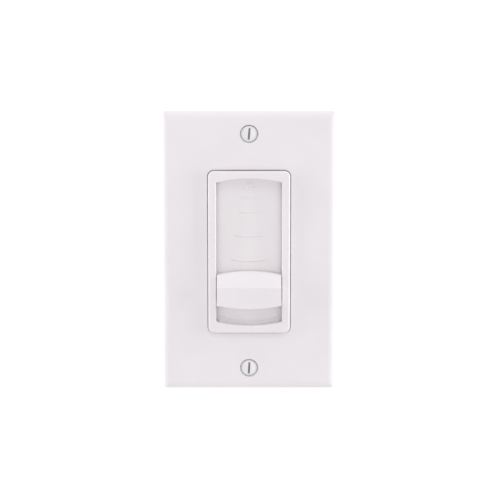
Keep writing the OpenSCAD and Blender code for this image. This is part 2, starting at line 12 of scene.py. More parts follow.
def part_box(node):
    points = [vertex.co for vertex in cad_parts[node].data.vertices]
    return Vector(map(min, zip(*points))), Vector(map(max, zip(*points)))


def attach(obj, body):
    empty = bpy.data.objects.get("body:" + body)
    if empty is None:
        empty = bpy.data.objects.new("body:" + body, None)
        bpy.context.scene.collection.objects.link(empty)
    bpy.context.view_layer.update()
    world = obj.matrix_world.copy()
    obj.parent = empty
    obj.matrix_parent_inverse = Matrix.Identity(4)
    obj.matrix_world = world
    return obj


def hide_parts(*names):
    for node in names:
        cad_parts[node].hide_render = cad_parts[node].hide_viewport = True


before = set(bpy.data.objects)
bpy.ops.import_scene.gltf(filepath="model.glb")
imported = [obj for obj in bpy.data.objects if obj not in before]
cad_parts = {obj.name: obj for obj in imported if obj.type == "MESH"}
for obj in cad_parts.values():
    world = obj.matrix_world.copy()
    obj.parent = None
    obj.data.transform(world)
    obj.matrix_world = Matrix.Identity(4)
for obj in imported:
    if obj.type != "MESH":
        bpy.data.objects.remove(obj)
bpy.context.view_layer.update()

MM = 0.001
FIXED, SLIDER = "fixed", "slider"

# ---------------------------------------------------------------- driving sizes

PLATE_LO, PLATE_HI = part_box("wallplate")
BEZEL_LO, BEZEL_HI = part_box("bezel_frame")
PANEL_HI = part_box("scale_panel")[1]
KNOB_LO, KNOB_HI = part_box("slider_knob")
SCREWS_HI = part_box("wallplate_screws")[1]
YOKE_FRONT = -1.3 * MM

PLATE_FACE_T = 2.0 * MM
PLATE_RIM_T = 1.35 * MM
# the crowned front edge: a long arc, then a tight one round to the side
CROWN_R, CROWN_TURN, CROWN_LIP_R = 4.2 * MM, 40, 0.4 * MM
PLATE_CORNER_R = 1.3 * MM
WINDOW_W, WINDOW_H, WINDOW_R = 33.8 * MM, 67.5 * MM, 2.7 * MM
BOSS_R = 4.6 * MM
SCREW_Z = 48.42 * MM
SCREW_HEAD_R = 3.27 * MM
SCREW_BASE_Y = -5.05 * MM
SCREW_SHANK_R = 1.57 * MM
SINK_R, SINK_WALL, SINK_CONE = 3.75 * MM, 0.9 * MM, 1.7 * MM
SCREW_TURNS = {1: 4.8, -1: 3.1}
# where a head's slot takes the darker steel colour, partly bare steel where the paint has not
# reached and partly painted shade for the deep slot: half width, half length, depth from the rim
SLOT_HALF_W, SLOT_REACH, SLOT_FLOOR = 0.42 * MM, 2.3 * MM, 0.5 * MM

BEZEL_W, BEZEL_H, BEZEL_CORNER_R = 33.2 * MM, 66.9 * MM, 2.4 * MM
BEZEL_OUTER_FILLET, BEZEL_INNER_FILLET = 0.75 * MM, 0.5 * MM
RECESS_W, RECESS_H, RECESS_BOW = 26.7 * MM, 60.85 * MM, 1.64 * MM
RECESS_CORNER_R = 0.5 * MM
RAIL_BACK_Y = -5.4 * MM
CHANNEL_X, CHANNEL_H = 15.4 * MM, 60.4 * MM
TONGUE_HALF_W, TONGUE_T = 5 * MM, 1.3 * MM
STAKE_Z, STAKE_R, STAKE_HEAD_R, STAKE_HEAD_H = 36.2 * MM, 1.1 * MM, 1.7 * MM, 0.8 * MM
STAKE_ROOT = 0.3 * MM

PANEL_R = 155 * MM
PANEL_CREST_Y = -4.4 * MM
PANEL_T = 1.4 * MM
PANEL_HALF_W = 13.75 * MM
PANEL_H = 62 * MM
PANEL_TAB_HALF_W = 6 * MM
MARK_ARC_R = 33 * MM
MARK_W, MARK_H = 0.6 * MM, 0.32 * MM
# each graduation's height on the panel and its width, in millimetres
MARKS = [(22.3, 6.2), (16.4, 8.0), (6.4, 11.5), (-3.8, 14.4), (-16.1, 18.6), (-28.8, 22.8)]
SUN_Z, SUN_R, SUN_RAY_IN, SUN_RAY_OUT = 26.7 * MM, 1.15 * MM, 1.85 * MM, 2.65 * MM
SUN_RAYS = 8

KNOB_Z = (KNOB_LO.z + KNOB_HI.z) / 2
KNOB_W, KNOB_H, KNOB_BOW = 26.2 * MM, 14.56 * MM, 1.4 * MM
KNOB_FACE_H = 8.65 * MM
KNOB_T = 1.3 * MM
KNOB_LIP_Y, KNOB_BACK_Y = -5.4 * MM, -4.2 * MM
KNOB_CLEARANCE = 0.6 * MM
KNOB_EDGE = 0.55 * MM
WING_H, LEG_H, LEG_X = 11.4 * MM, 6 * MM, 14.2 * MM
WING_Y = (-5.2 * MM, -4.3 * MM)


# ---------------------------------------------------------------- mesh building

def new_object(name, bm):
    """A mesh object made from a bmesh, linked to the scene, with its faces turned outwards."""
    bmesh.ops.recalc_face_normals(bm, faces=bm.faces)
    mesh = bpy.data.meshes.new(name)
    bm.to_mesh(mesh)
    bm.free()
    obj = bpy.data.objects.new(name, mesh)
    bpy.context.scene.collection.objects.link(obj)
    return obj


def modifier(obj, kind, **settings):
    mod = obj.modifiers.new(kind.title(), kind)
    for key, value in settings.items():
        setattr(mod, key, value)
    return mod


def apply_modifiers(obj):
    graph = bpy.context.evaluated_depsgraph_get()
    mesh = bpy.data.meshes.new_from_object(obj.evaluated_get(graph))
    obj.modifiers.clear()
    obj.data = mesh
    return obj


def join(first, *others):
    """All the objects' meshes in the first one."""
    bm = bmesh.new()
    for obj in (first, *others):
        bm.from_mesh(obj.data)
    bm.to_mesh(first.data)
    bm.free()
    for obj in others:
        bpy.data.objects.remove(obj)
    return first


def smooth(obj, angle=38):
    """Smooth shading with sharp edges kept, and normals weighted so that flat faces stay flat."""
    obj.data.shade_smooth()
    obj.data.set_sharp_from_angle(angle=math.radians(angle))
    modifier(obj, "WEIGHTED_NORMAL", keep_sharp=True, weight=80)
    return obj


def boolean(obj, cutter, operation="DIFFERENCE"):
    modifier(obj, "BOOLEAN", operation=operation, object=cutter, solver="EXACT")
    apply_modifiers(obj)
    bpy.data.objects.remove(cutter)
    return obj


def round_edges(obj, width, segments=3, angle=30):
    modifier(obj, "BEVEL", width=width, segments=segments, limit_method="ANGLE",
             angle_limit=math.radians(angle), use_clamp_overlap=True)
    return apply_modifiers(obj)


def arc_r(half, bow):
    """Radius of an arc that rises by bow over half its chord."""
    return (half * half + bow * bow) / (2 * bow)


def outline(w, h, r, bow, side=24, corner=8):
    """A rounded rectangle in X and Z as a closed loop; its top and bottom may bow outwards."""
    big = arc_r(w / 2, bow) if bow else 0.0

    def rise(x):
        return h / 2 - big + math.sqrt(big * big - x * x) if bow else h / 2

    lean = 0.0
    if bow:
        # the corner's lean and where the bow ends depend on each other, and settle in a few rounds
        for _ in range(4):
            lean = math.asin((w / 2 - r * (1 - math.sin(lean))) / big)
    end_x = w / 2 - r * (1 - math.sin(lean))
    centre_x, centre_z = w / 2 - r, rise(end_x) - r * math.cos(lean)
    top = [(x, rise(x)) for x in (end_x * (2 * i / side - 1) for i in range(side + 1))]
    angles = [(math.pi / 2 - lean) * (1 - i / corner) for i in range(1, corner + 1)]
    bend = [(centre_x + r * math.cos(a), centre_z + r * math.sin(a)) for a in angles]
    down = [(w / 2, centre_z * (1 - 2 * i / side)) for i in range(1, side)]
    right = top + bend + down + [(x, -z) for x, z in reversed(bend)]
    left = [(x, -z) for x, z in reversed(top)] + [(-x, -z) for x, z in bend + down]
    return right + left + [(-x, z) for x, z in reversed(bend)]


def ring(y, w, h, r, bow=0.0):
    return [Vector((x, y, z)) for x, z in outline(w, h, r, bow)]


def quarter(steps=6):
    """Unit steps round a quarter circle, from the wall that it starts on to the face."""
    for i in range(steps + 1):
        a = math.pi / 2 * i / steps
        yield 1 - math.cos(a), 1 - math.sin(a)


def crown():
    """Steps over the plate's front edge, as inset from its side and depth below its face."""
    turn = math.radians(CROWN_TURN)
    lip = CROWN_LIP_R * (1 - math.sin(turn))
    long_steps, tight_steps = 10, 5
    for i in range(long_steps + 1):
        a = turn * i / long_steps
        yield lip + CROWN_R * (math.sin(turn) - math.sin(a)), CROWN_R * (1 - math.cos(a))
    foot = CROWN_R * (1 - math.cos(turn))
    for i in range(1, tight_steps + 1):
        a = turn + (math.pi / 2 - turn) * i / tight_steps
        yield CROWN_LIP_R * (1 - math.sin(a)), foot + CROWN_LIP_R * (math.cos(turn) - math.cos(a))


def middle(lo, hi):
    """The centre of a box, from its two corners."""
    return [(a + b) / 2 for a, b in zip(lo, hi)]


def loft(name, rings):
    """A closed skin through rings of equally many points, the last joined to the first."""
    bm = bmesh.new()
    rows = [[bm.verts.new(p) for p in points] for points in rings]
    n = len(rows[0])
    for low, high in zip(rows, rows[1:] + rows[:1]):
        for i in range(n):
            bm.faces.new((low[i], low[(i + 1) % n], high[(i + 1) % n], high[i]))
    return new_object(name, bm)


def block(name, lo, hi, edge=0.0, segments=2):
    """A box between two corners, its edges rounded."""
    bm = bmesh.new()
    bmesh.ops.create_cube(bm, size=1.0)
    size, centre = Vector(hi) - Vector(lo), (Vector(hi) + Vector(lo)) / 2
    for v in bm.verts:
        v.co = Vector(a * b for a, b in zip(v.co, size)) + centre
    if edge:
        bmesh.ops.bevel(bm, geom=bm.edges[:], offset=edge, segments=segments,
                        profile=0.5, affect="EDGES")
    return new_object(name, bm)


def lathe(name, profile, x=0.0, z=0.0, steps=96, closed=False):
    """A turned solid about a line along Y, from (radius, y) points: they end on the line, or
    are closed into a ring."""
    bm = bmesh.new()
    rows = []
    for r, y in profile:
        if r < 1e-9:
            rows.append([bm.verts.new((x, y, z))])
            continue
        rows.append([bm.verts.new((x + r * math.cos(a), y, z + r * math.sin(a)))
                     for a in (2 * math.pi * i / steps for i in range(steps))])
    for low, high in zip(rows, rows[1:] + (rows[:1] if closed else [])):
        for i in range(steps):
            j = (i + 1) % steps
            corners = [low[i % len(low)], low[j % len(low)],
                       high[j % len(high)], high[i % len(high)]]
            bm.faces.new(list(dict.fromkeys(corners)))
    return new_object(name, bm)


def place(obj, x, y, z, turn=0.0, along_x=False):
    """Moves a mesh made about the Y axis to its place, turned about its own axis first."""
    lay = Matrix.Rotation(math.radians(-90), 4, "Z") if along_x else Matrix.Identity(4)
    spin = Matrix.Rotation(math.radians(turn), 4, "Y")
    obj.data.transform(Matrix.Translation((x, y, z)) @ lay @ spin)
    return obj


def thread(r, y0, y1, pitch=0.8 * MM, depth=0.2 * MM, steps=24, per_turn=8):
    """A threaded shank along Y: the ridge climbs one pitch a turn and fades at both ends."""
    bm = bmesh.new()
    rows, count = [], int((y1 - y0) / pitch * per_turn)
    for k in range(count + 1):
        y = y0 + (y1 - y0) * k / count
        fade = min(1.0, k / per_turn, (count - k) / per_turn)
        row = []
        for i in range(steps):
            ridge = abs(2 * ((y / pitch + i / steps) % 1) - 1) * fade
            a, reach = 2 * math.pi * i / steps, r - depth + depth * ridge
            row.append(bm.verts.new((reach * math.cos(a), y, reach * math.sin(a))))
        rows.append(row)
    for low, high in zip(rows, rows[1:]):
        for i in range(steps):
            j = (i + 1) % steps
            bm.faces.new((low[i], low[j], high[j], high[i]))
    bm.faces.new(rows[0])
    bm.faces.new(rows[-1])
    return new_object("thread", bm)


def screw(head, dome_h, rim_h, shank, tip, taper_h=0.0, slot_w=0.8 * MM, slot_depth=1.0 * MM,
          reach=0.75):
    """A slotted screw along Y with its rim's top at 0: the slot is cut by a disc."""
    ball, soft, neck, sink = arc_r(head, dome_h), 0.12 * MM, 0.5 * MM, 0.3 * MM
    bend = math.asin((head - soft) / ball)
    dome = [(ball * math.sin(a), -dome_h + ball * (1 - math.cos(a)))
            for a in (bend * i / 12 for i in range(13))]
    end = rim_h + taper_h
    profile = dome + [(head, soft), (head, rim_h - soft / 2), (head - soft / 2, rim_h),
                      (shank, end + 0.01 * MM), (shank, end + neck), (0, end + neck)]
    blank = lathe("screw", profile, steps=64)
    far = head * reach
    deep = slot_depth - ball + math.sqrt(ball * ball - far * far)
    disc_r = arc_r(far, deep)
    disc = lathe("slot", [(0, -slot_w / 2), (disc_r, -slot_w / 2), (disc_r, slot_w / 2),
                          (0, slot_w / 2)], steps=128)
    boolean(blank, place(disc, 0, slot_depth - dome_h - disc_r, 0, along_x=True))
    round_edges(blank, 0.05 * MM, 2, 40)
    return join(blank, thread(shank, end + sink, tip))


def tube(name, path, r, sides=10):
    """A round wire along a list of points, closed at both ends."""
    bm = bmesh.new()
    rows, n = [], len(path)
    across = (Vector(path[1]) - Vector(path[0])).orthogonal().normalized()
    for i, point in enumerate(path):
        run = (Vector(path[min(i + 1, n - 1)]) - Vector(path[max(i - 1, 0)])).normalized()
        across = (across - run * across.dot(run)).normalized()
        side = run.cross(across)
        turns = (2 * math.pi * k / sides for k in range(sides))
        rows.append([bm.verts.new(Vector(point) + (across * math.cos(a) + side * math.sin(a)) * r)
                     for a in turns])
    for low, high in zip(rows, rows[1:]):
        for k in range(sides):
            j = (k + 1) % sides
            bm.faces.new((low[k], low[j], high[j], high[k]))
    bm.faces.new(rows[0])
    bm.faces.new(rows[-1])
    return new_object(name, bm)


def round_end(t, length):
    """Share of a turned body's radius at t, from -1 to 1 along it: the last length is round."""
    return math.sqrt(max(0.0, 1 - max(0.0, (abs(t) - (1 - length)) / length) ** 2))


def bent_lead(name, centre, start, reach, bend, foot_y, along_x=False):
    """One wire of a part lying along Z or X: out of its body, round a bend, down to the board.

    Start and reach are measured from the centre, and are negative for the wire on the far side.
    """
    x, y, z = centre
    s = math.copysign(1, reach)
    path = [(start, y)]
    for k in range(7):
        a = math.radians(15 * k)
        path.append((s * (abs(reach) - bend + bend * math.sin(a)), y - bend + bend * math.cos(a)))
    path.append((path[-1][0], foot_y))
    points = [(x + out, down, z) if along_x else (x, down, z + out) for out, down in path]
    return tube(name, points, LEAD_R)


def from_cad(node, name, edge, segments=2, angle=30):
    """A new mesh with a CAD node's shape, its flat faces merged and its edges rounded."""
    bm = bmesh.new()
    bm.from_mesh(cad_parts[node].data)
    bmesh.ops.remove_doubles(bm, verts=bm.verts, dist=1e-6)
    bmesh.ops.dissolve_limit(bm, angle_limit=math.radians(0.5), verts=bm.verts, edges=bm.edges)
    return round_edges(new_object(name, bm), edge, segments, angle)


def extrude_z(name, points, z0, z1):
    """A closed outline in X and Y, drawn out along Z."""
    bm = bmesh.new()
    low = [bm.verts.new((x, y, z0)) for x, y in points]
    high = [bm.verts.new((x, y, z1)) for x, y in points]
    n = len(points)
    for i in range(n):
        bm.faces.new((low[i], low[(i + 1) % n], high[(i + 1) % n], high[i]))
    bm.faces.new(low)
    bm.faces.new(high)
    return new_object(name, bm)


def panel_y(x, grow=0.0):
    """Depth of the convex scale panel's front at x, or of a surface grown from it."""
    return PANEL_CREST_Y + PANEL_R - math.sqrt((PANEL_R + grow) ** 2 - x * x)


def panel_normal(x):
    return Vector((x, -math.sqrt(PANEL_R ** 2 - x * x), 0)) / PANEL_R


def rib(name, path, closed=False, width=MARK_W, height=MARK_H, sides=8):
    """A low rounded rib along (x, z) points on the scale panel, tapered at its free ends."""
    bm = bmesh.new()
    rows, n = [], len(path)
    sink = 0.04 * MM
    for i, (x, z) in enumerate(path):
        ahead, behind = path[(i + 1) % n], path[i - 1]
        if not closed:
            ahead, behind = path[min(i + 1, n - 1)], path[max(i - 1, 0)]
        run = Vector((ahead[0] - behind[0], 0, ahead[1] - behind[1])).normalized()
        out = panel_normal(x)
        across = run.cross(out).normalized()
        share = 1.0 if closed else min(1.0, 0.35 + 0.65 * min(i, n - 1 - i) / 2)
        foot = Vector((x, panel_y(x), z)) - out * sink
        rows.append([bm.verts.new(
            foot + across * math.cos(a) * width / 2 * share
            + out * (sink if math.sin(a) > 1e-6 else 0)
            + out * math.sin(a) * height * share)
            for a in (math.pi * k / sides for k in range(sides + 1))])
    links = list(zip(rows, rows[1:])) + ([(rows[-1], rows[0])] if closed else [])
    for low, high in links:
        for k in range(sides):
            bm.faces.new((low[k], low[k + 1], high[k + 1], high[k]))
        bm.faces.new((low[0], high[0], high[sides], low[sides]))
    if not closed:
        bm.faces.new(rows[0])
        bm.faces.new(rows[-1])
    return new_object(name, bm)


# ---------------------------------------------------------------- materials

class Nodes:
    """A material's node tree, with short ways to add what most of the materials use."""

    def __init__(self, name):
        self.material = bpy.data.materials.new(name)
        self.material.use_nodes = True
        self.tree = self.material.node_tree
        self.shader = self.tree.nodes["Principled BSDF"]
        self.coords = self.add("ShaderNodeTexCoord").outputs["Object"]

    def add(self, kind, **settings):
        node = self.tree.nodes.new(kind)
        for key, value in settings.items():
            setattr(node, key, value)
        return node

    def link(self, source, target):
        self.tree.links.new(source, target)

    def noise(self, scale, detail=3.0, stretch=(1, 1, 1)):
        mapping = self.add("ShaderNodeMapping")
        mapping.inputs["Scale"].default_value = stretch
        self.link(self.coords, mapping.inputs["Vector"])
        node = self.add("ShaderNodeTexNoise")
        node.inputs["Scale"].default_value = scale
        node.inputs["Detail"].default_value = detail
        self.link(mapping.outputs["Vector"], node.inputs["Vector"])
        return node.outputs["Fac"]

    def colours(self, fac, low, high, start=0.35, end=0.65):
        ramp = self.add("ShaderNodeValToRGB")
        for element, place, colour in zip(ramp.color_ramp.elements, (start, end), (low, high)):
            element.position = place
            element.color = (*colour, 1)
        self.link(fac, ramp.inputs["Fac"])
        return ramp.outputs["Color"]

    def spread(self, fac, low, high):
        """The part of the noise's range that is mostly used, spread over low to high."""
        node = self.add("ShaderNodeMapRange")
        for key, value in (("From Min", 0.3), ("From Max", 0.7), ("To Min", low), ("To Max", high)):
            node.inputs[key].default_value = value
        self.link(fac, node.inputs["Value"])
        return node.outputs["Result"]

    def bump(self, height, distance, strength, under=None):
        node = self.add("ShaderNodeBump")
        node.inputs["Distance"].default_value = distance
        node.inputs["Strength"].default_value = strength
        self.link(height, node.inputs["Height"])
        if under is not None:
            self.link(under, node.inputs["Normal"])
        return node.outputs["Normal"]

    def edges(self, radius, amount):
        """1 on sharp outer edges, broken up by noise, and 0 on open faces."""
        rounded = self.add("ShaderNodeBevel", samples=4)
        rounded.inputs["Radius"].default_value = radius
        turned = self.add("ShaderNodeVectorMath", operation="DOT_PRODUCT")
        self.link(rounded.outputs["Normal"], turned.inputs[0])
        self.link(self.add("ShaderNodeNewGeometry").outputs["Normal"], turned.inputs[1])
        worn = self.add("ShaderNodeMapRange")
        values = (("From Min", 0.98), ("From Max", 0.85), ("To Min", 0.0), ("To Max", amount))
        for key, value in values:
            worn.inputs[key].default_value = value
        self.link(turned.outputs["Value"], worn.inputs["Value"])
        broken = self.add("ShaderNodeMath", operation="MULTIPLY")
        self.link(worn.outputs["Result"], broken.inputs[0])
        self.link(self.spread(self.noise(700, 4), 0.2, 1.0), broken.inputs[1])
        return broken.outputs["Value"]

    def mix(self, fac, colour, other):
        node = self.add("ShaderNodeMix", data_type="RGBA")
        self.link(fac, node.inputs["Factor"])
        self.link(colour, node.inputs["A"])
        node.inputs["B"].default_value = (*other, 1)
        return node.outputs["Result"]


def tint(colour, by):
    return tuple(min(1.0, c * by) for c in colour)


def plastic(name, colour, rough=(0.3, 0.38), grain=2500, grain_depth=0.004 * MM, vary=0.012,
            wear=0.0):
    """Moulded plastic: a faint drift of shade, uneven gloss, and a fine grain over slow waves."""
    n = Nodes(name)
    shade = n.colours(n.noise(60, 2), tint(colour, 1 - vary), tint(colour, 1 + vary))
    if wear:
        shade = n.mix(n.edges(0.25 * MM, wear), shade, tint(colour, 2.5))
    n.link(shade, n.shader.inputs["Base Color"])
    n.link(n.spread(n.noise(220), *rough), n.shader.inputs["Roughness"])
    waves = n.bump(n.noise(130, 1), 0.02 * MM, 0.35)
    n.link(n.bump(n.noise(grain, 4), grain_depth, 0.6, waves), n.shader.inputs["Normal"])
    return n.material


def metal(name, colour, rough=(0.25, 0.42), stretch=(1, 1, 1), scratch=900, vary=0.06,
          metallic=1.0, wear=0.5):
    """Plated or bare metal: drifting tone, brushed gloss and scratches, and brighter edges."""
    n = Nodes(name)
    brushed = n.noise(scratch, 5, stretch)
    shade = n.colours(n.noise(90, 4), tint(colour, 1 - vary), tint(colour, 1 + vary))
    if wear:
        shade = n.mix(n.edges(0.2 * MM, wear), shade, tint(colour, 1.35))
    n.link(shade, n.shader.inputs["Base Color"])
    n.link(n.spread(brushed, *rough), n.shader.inputs["Roughness"])
    n.link(n.bump(brushed, 0.006 * MM, 0.5), n.shader.inputs["Normal"])
    n.shader.inputs["Metallic"].default_value = metallic
    return n.material


def speckled(name, colour, spot, scale, rough=(0.5, 0.7), stretch=(1, 1, 1), depth=0.01 * MM):
    """A pressed or filled material: fibres or grains of a second colour through the first."""
    n = Nodes(name)
    fleck = n.noise(scale, 6, stretch)
    n.link(n.colours(fleck, colour, spot, 0.42, 0.62), n.shader.inputs["Base Color"])
    n.link(n.spread(fleck, *rough), n.shader.inputs["Roughness"])
    n.link(n.bump(fleck, depth, 0.7), n.shader.inputs["Normal"])
    return n.material


def banded(name, colour, bands, start, width):
    """A lacquered body with coloured rings at even steps along X."""
    n = Nodes(name)
    ramp = n.add("ShaderNodeValToRGB")
    ramp.color_ramp.interpolation = "CONSTANT"
    stops = ramp.color_ramp.elements
    stops[0].color = stops[1].color = (*colour, 1)
    step, band_w = 0.18, 0.08
    for i, band in enumerate(bands):
        stops.new((i + 1) * step).color = (*band, 1)
        stops.new((i + 1) * step + band_w).color = (*colour, 1)
    along = n.add("ShaderNodeMapRange")
    split = n.add("ShaderNodeSeparateXYZ")
    n.link(n.coords, split.inputs["Vector"])
    n.link(split.outputs["X"], along.inputs["Value"])
    along.inputs["From Min"].default_value = start
    along.inputs["From Max"].default_value = start + width
    n.link(along.outputs["Result"], ramp.inputs["Fac"])
    n.link(ramp.outputs["Color"], n.shader.inputs["Base Color"])
    gloss = n.noise(1800)
    n.link(n.spread(gloss, 0.3, 0.45), n.shader.inputs["Roughness"])
    n.link(n.bump(gloss, 0.01 * MM, 0.5), n.shader.inputs["Normal"])
    return n.material


WHITE = (0.885, 0.845, 0.87)
# the scale panel's white is lighter than the other white parts: painted light that makes up for the
# shade the recess throws on it
PANEL_LIGHTENED_WHITE = (0.925, 0.88, 0.903)
PLATE_WHITE = plastic("plate_white", WHITE)
BEZEL_WHITE = plastic("bezel_white", WHITE, rough=(0.2, 0.27))
PANEL_WHITE = plastic("panel_white", PANEL_LIGHTENED_WHITE, rough=(0.42, 0.52), grain=3500)
KNOB_WHITE = plastic("knob_white", WHITE, rough=(0.28, 0.36))
SCREW_PAINT = plastic("screw_paint", (0.87, 0.855, 0.865), rough=(0.2, 0.3), grain=1500)
# dark steel for the faces in the screw slots: partly bare steel, partly painted shade for the slot's
# shadow
SLOT_STEEL_AND_SHADE = metal("slot_steel_and_shade", (0.4, 0.4, 0.41), rough=(0.5, 0.7), metallic=0.4, wear=0)
NYLON = plastic("nylon", (0.74, 0.72, 0.64), rough=(0.35, 0.5), grain=1800, vary=0.03)
HOUSING_BLACK = plastic("housing_black", (0.022, 0.022, 0.024), rough=(0.42, 0.58), grain=2200,
                        grain_depth=0.02 * MM, vary=0.12, wear=0.6)
PLUNGER_RED = plastic("plunger_red", (0.42, 0.025, 0.02), vary=0.05)
ZINC = metal("zinc_plate", (0.62, 0.645, 0.66), stretch=(8, 8, 0.4))
GREEN_METAL = metal("green_passivate", (0.02, 0.22, 0.06), metallic=0.75, vary=0.15)
BRIGHT_METAL = metal("bright_steel", (0.6, 0.61, 0.62), rough=(0.2, 0.35))
POT_STEEL = metal("pot_steel", (0.55, 0.56, 0.57), stretch=(6, 6, 0.5), rough=(0.3, 0.5))
BRASS = metal("brass", (0.74, 0.55, 0.22), rough=(0.22, 0.4), vary=0.1)
TINNED = metal("tinned_copper", (0.68, 0.68, 0.67), rough=(0.18, 0.4), vary=0.1)
PAPER = speckled("fish_paper", (0.26, 0.2, 0.13), (0.36, 0.29, 0.2), scale=900,
                 rough=(0.75, 0.95), stretch=(1, 1, 5))
BOARD = speckled("phenolic_board", (0.4, 0.25, 0.1), (0.5, 0.34, 0.16), scale=1200,
                 rough=(0.35, 0.55), stretch=(1, 1, 4))
TRACK = speckled("phenolic_track", (0.075, 0.035, 0.018), (0.11, 0.055, 0.03), scale=1500)
EPOXY = speckled("epoxy_black", (0.018, 0.018, 0.018), (0.045, 0.045, 0.045), scale=3000)
PAD_GREY = speckled("thermal_pad", (0.4, 0.43, 0.48), (0.5, 0.53, 0.58), scale=2500,
                    rough=(0.7, 0.85))
IRON_POWDER = speckled("core_lacquer", (0.05, 0.055, 0.045), (0.09, 0.1, 0.08), scale=2000)
ENAMEL = metal("copper_enamel", (0.5, 0.16, 0.05), rough=(0.15, 0.28), vary=0.12, wear=0)
FILM_YELLOW = plastic("film_yellow", (0.62, 0.4, 0.03), grain=1500, vary=0.05)
DIP_BLUE = plastic("dip_blue", (0.025, 0.11, 0.36), rough=(0.18, 0.3), grain=900, vary=0.08)

RESISTOR_X, RESISTOR_HALF, RESISTOR_R = 2 * MM, 3.2 * MM, 1.15 * MM
RESISTOR_ROWS = (-18.5 * MM, -22 * MM, -25.5 * MM)
LEAD_R = 0.29 * MM
# how far a resistor's or the diac's wires start inside its body
LEAD_ROOT = 0.1 * MM
RESISTOR_TAN = banded("resistor_tan", (0.55, 0.42, 0.25),
                      ((0.3, 0.12, 0.03), (0.02, 0.02, 0.02), (0.6, 0.12, 0.02), (0.6, 0.42, 0.1)),
                      RESISTOR_X - RESISTOR_HALF, 2 * RESISTOR_HALF)


def finish(obj, material, body, slot, *nodes):
    """Gives a piece its look and its body, and hides the CAD nodes that it stands for; its slot is
    not used.
    """
    obj.data.materials.clear()
    obj.data.materials.append(material)
    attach(obj, body)
    if nodes:
        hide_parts(*nodes)
    return obj


# ---------------------------------------------------------------- the front

def screw_hole(z):
    """What a countersunk hole with a softened edge takes out of the wallplate."""
    front = PLATE_LO.y
    floor_r, lip = SINK_R - SINK_CONE, 0.12 * MM
    seat = front + SINK_WALL
    profile = [(0, front - MM), (SINK_R + lip, front - MM), (SINK_R + lip, front),
               (SINK_R + lip * 0.3, front + lip * 0.3), (SINK_R, front + lip), (SINK_R, seat),
               (floor_r, seat + SINK_CONE), (floor_r, PLATE_HI.y + MM), (0, PLATE_HI.y + MM)]
    return lathe("screw_hole", profile, z=z)


def make_wallplate():
    """A hollow plate lofted through its window, rounded front edge, rim and inside."""
    w, h = PLATE_HI.x - PLATE_LO.x, PLATE_HI.z - PLATE_LO.z
    front, back = PLATE_LO.y, PLATE_HI.y
    inner = front + PLATE_FACE_T
    lip, draft, soft = 0.35 * MM, 0.12 * MM, 0.2 * MM
    rings = [ring(inner, WINDOW_W, WINDOW_H, WINDOW_R)]
    for out, along in quarter():
        rings.append(ring(front + lip * along, WINDOW_W + 2 * lip * out,
                          WINDOW_H + 2 * lip * out, WINDOW_R + lip * out))
    for inset, drop in crown():
        inset += draft
        rings.append(ring(front + drop, w - 2 * inset, h - 2 * inset,
                          max(PLATE_CORNER_R - inset / 2, 0.4 * MM)))
    rings.append(ring(back - soft, w, h, PLATE_CORNER_R))
    rings.append(ring(back, w - soft, h - soft, PLATE_CORNER_R))
    for y, wall in ((back, PLATE_RIM_T), (inner, PLATE_RIM_T + draft)):
        rings.append(ring(y, w - 2 * wall, h - 2 * wall, PLATE_CORNER_R))
    plate = loft("wallplate_shell", rings)
    for s in (1, -1):
        top, foot = inner - 0.5 * MM, YOKE_FRONT
        boss = lathe("boss", [(0, top), (BOSS_R, top), (BOSS_R, foot - 0.2 * MM),
                              (BOSS_R - 0.2 * MM, foot), (0, foot)], z=s * SCREW_Z)
        boolean(plate, boss, "UNION")
        boolean(plate, screw_hole(s * SCREW_Z))
    return finish(smooth(plate), PLATE_WHITE, FIXED, "wallplate_white", "wallplate")


def make_bezel():
    """The frame round the recess: soft outer and inner rims, rails over the wings' channels."""
    front, back = BEZEL_LO.y, YOKE_FRONT
    rings = [ring(back, BEZEL_W, BEZEL_H, BEZEL_CORNER_R)]
    for out, along in quarter(8):
        inset = BEZEL_OUTER_FILLET * out
        rings.append(ring(front + BEZEL_OUTER_FILLET * along, BEZEL_W - 2 * inset,
                          BEZEL_H - 2 * inset, BEZEL_CORNER_R - inset))
    for out, along in reversed(list(quarter(8))):
        grow = BEZEL_INNER_FILLET * out
        rings.append(ring(front + BEZEL_INNER_FILLET * along, RECESS_W + 2 * grow,
                          RECESS_H + 2 * grow, RECESS_CORNER_R + grow, RECESS_BOW))
    rings.append(ring(back, RECESS_W, RECESS_H, RECESS_CORNER_R, RECESS_BOW))
    bezel = loft("bezel", rings)
    for s in (1, -1):
        xs = sorted((s * CHANNEL_X, s * (RECESS_W / 2 - MM)))
        boolean(bezel, block("channel", (xs[0], RAIL_BACK_Y, -CHANNEL_H / 2),
                             (xs[1], MM, CHANNEL_H / 2)))
    gap = 0.05 * MM
    side = CHANNEL_X - 0.2 * MM
    xs = (side * (i / 24 - 1) for i in range(49))
    room = [(x, panel_y(x, gap)) for x in xs] + [(side, 2 * MM), (-side, 2 * MM)]
    boolean(bezel, extrude_z("panel_room", room, -PANEL_H / 2 - gap, PANEL_H / 2 + gap))
    parts = []
    for s in (1, -1):
        zs = sorted((s * (BEZEL_H / 2 - MM), s * BEZEL_HI.z))
        parts.append(block("tongue", (-TONGUE_HALF_W, back - TONGUE_T, zs[0]),
                           (TONGUE_HALF_W, back, zs[1]), 0.2 * MM))
        parts.append(lathe("stake", [(0, back - STAKE_ROOT), (STAKE_R, back - STAKE_ROOT),
                                     (STAKE_R, 0), (STAKE_HEAD_R, 0.1 * MM),
                                     (STAKE_HEAD_R, 0.4 * MM),
                                     (STAKE_HEAD_R * 0.7, STAKE_HEAD_H * 0.9),
                                     (0, STAKE_HEAD_H)], z=s * STAKE_Z, steps=40))
    join(bezel, *parts)
    return finish(smooth(bezel), BEZEL_WHITE, FIXED, "bezel_white", "bezel_frame")


